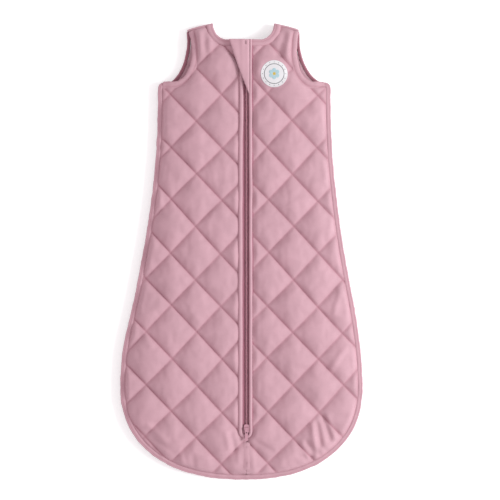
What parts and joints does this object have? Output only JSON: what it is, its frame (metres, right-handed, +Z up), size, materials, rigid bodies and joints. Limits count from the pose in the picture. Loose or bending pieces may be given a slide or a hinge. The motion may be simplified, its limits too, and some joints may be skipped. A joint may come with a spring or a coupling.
{
  "type": "baby sleeping bag",
  "caption": "Sleeveless quilted sleeping bag for a baby, lying flat on its back, with a full-length centre zip and a chin guard.",
  "frame": {"origin": "on the ground under the middle of the bag's outline", "axes": "+X across the bag to the right of someone who looks down at its front with the neck away from them, +Y towards the neck, +Z up, out of the front"},
  "size_m": [0.36, 0.685, 0.028],
  "materials": {
    "quilted_jersey": "matte knit",
    "lining_jersey": "matte knit",
    "wadding": "soft fibre",
    "jersey_binding": "matte knit",
    "zip_tape": "woven",
    "zip_plastic": "satin",
    "enamelled_metal": "satin enamel",
    "patch_fabric": "smooth twill",
    "label_satin": "satin"
  },
  "bodies": {
    "root": {"back_shell": "quilted_jersey", "back_wadding": "wadding", "back_lining": "lining_jersey", "care_label": "label_satin", "left_front_shell": "quilted_jersey", "left_front_wadding": "wadding", "left_front_lining": "lining_jersey", "right_front_shell": "quilted_jersey", "right_front_wadding": "wadding", "right_front_lining": "lining_jersey", "left_side_binding": "jersey_binding", "right_side_binding": "jersey_binding", "hem_binding": "jersey_binding", "back_neck_binding": "jersey_binding", "left_armhole_binding": "jersey_binding", "right_armhole_binding": "jersey_binding", "left_shoulder_seam": "jersey_binding", "right_shoulder_seam": "jersey_binding", "centre_front_seam": "jersey_binding", "zip_bottom_stop": "zip_plastic", "zip_foot_tack": "jersey_binding"},
    "left_lapel": {"left_lapel_shell": "quilted_jersey", "left_lapel_wadding": "wadding", "left_lapel_lining": "lining_jersey", "left_neck_binding": "jersey_binding", "left_zip_facing": "jersey_binding", "left_zip_tape": "zip_tape", "left_zip_teeth": "zip_plastic", "insertion_pin": "zip_plastic"},
    "right_lapel": {"right_lapel_shell": "quilted_jersey", "right_lapel_wadding": "wadding", "right_lapel_lining": "lining_jersey", "right_neck_binding": "jersey_binding", "right_zip_facing": "jersey_binding", "right_zip_tape": "zip_tape", "right_zip_teeth": "zip_plastic", "retaining_box": "zip_plastic", "inner_zip_guard": "jersey_binding", "round_patch": "patch_fabric"},
    "slider": {"slider_body": "enamelled_metal"},
    "pull": {"pull_tab": "enamelled_metal"},
    "chin_guard": {"chin_guard": "jersey_binding", "chin_guard_tack": "jersey_binding"}
  },
  "joints": [
    {"name": "zip_slider_travel", "type": "slide", "parent": "right_lapel", "child": "slider", "axis": [0, 1, 0], "range_m": [0, 0.56]},
    {"name": "left_front_fold", "type": "hinge", "parent": "root", "child": "left_lapel", "pos_m": [0.0045, -0.285, 0.0256], "axis": [0.0802, -0.9968, 0], "range_deg": [0, 110], "deforming": ["left_zip_facing", "left_zip_tape", "left_zip_teeth"]},
    {"name": "right_front_fold", "type": "hinge", "parent": "root", "child": "right_lapel", "pos_m": [0.0045, -0.285, 0.0256], "axis": [0.066, 0.9978, 0], "range_deg": [0, 110], "deforming": ["right_zip_facing", "right_zip_tape", "right_zip_teeth", "inner_zip_guard", "round_patch"]},
    {"name": "chin_guard_lift", "type": "hinge", "parent": "right_lapel", "child": "chin_guard", "pos_m": [0.0076, 0.318, 0.0276], "axis": [0, 1, 0], "range_deg": [0, 150]},
    {"name": "pull_swing", "type": "hinge", "parent": "slider", "child": "pull", "pos_m": [0.0045, -0.265, 0.026], "axis": [-1, 0, 0], "range_deg": [0, 150]}
  ],
  "couplings": [
    {"joint": "left_front_fold", "follows": "zip_slider_travel", "rad_per_m": 3.4249},
    {"joint": "right_front_fold", "follows": "zip_slider_travel", "rad_per_m": 3.4249},
    {"joint": "chin_guard_lift", "follows": "zip_slider_travel", "rad_per_m": 4.6703}
  ]
}
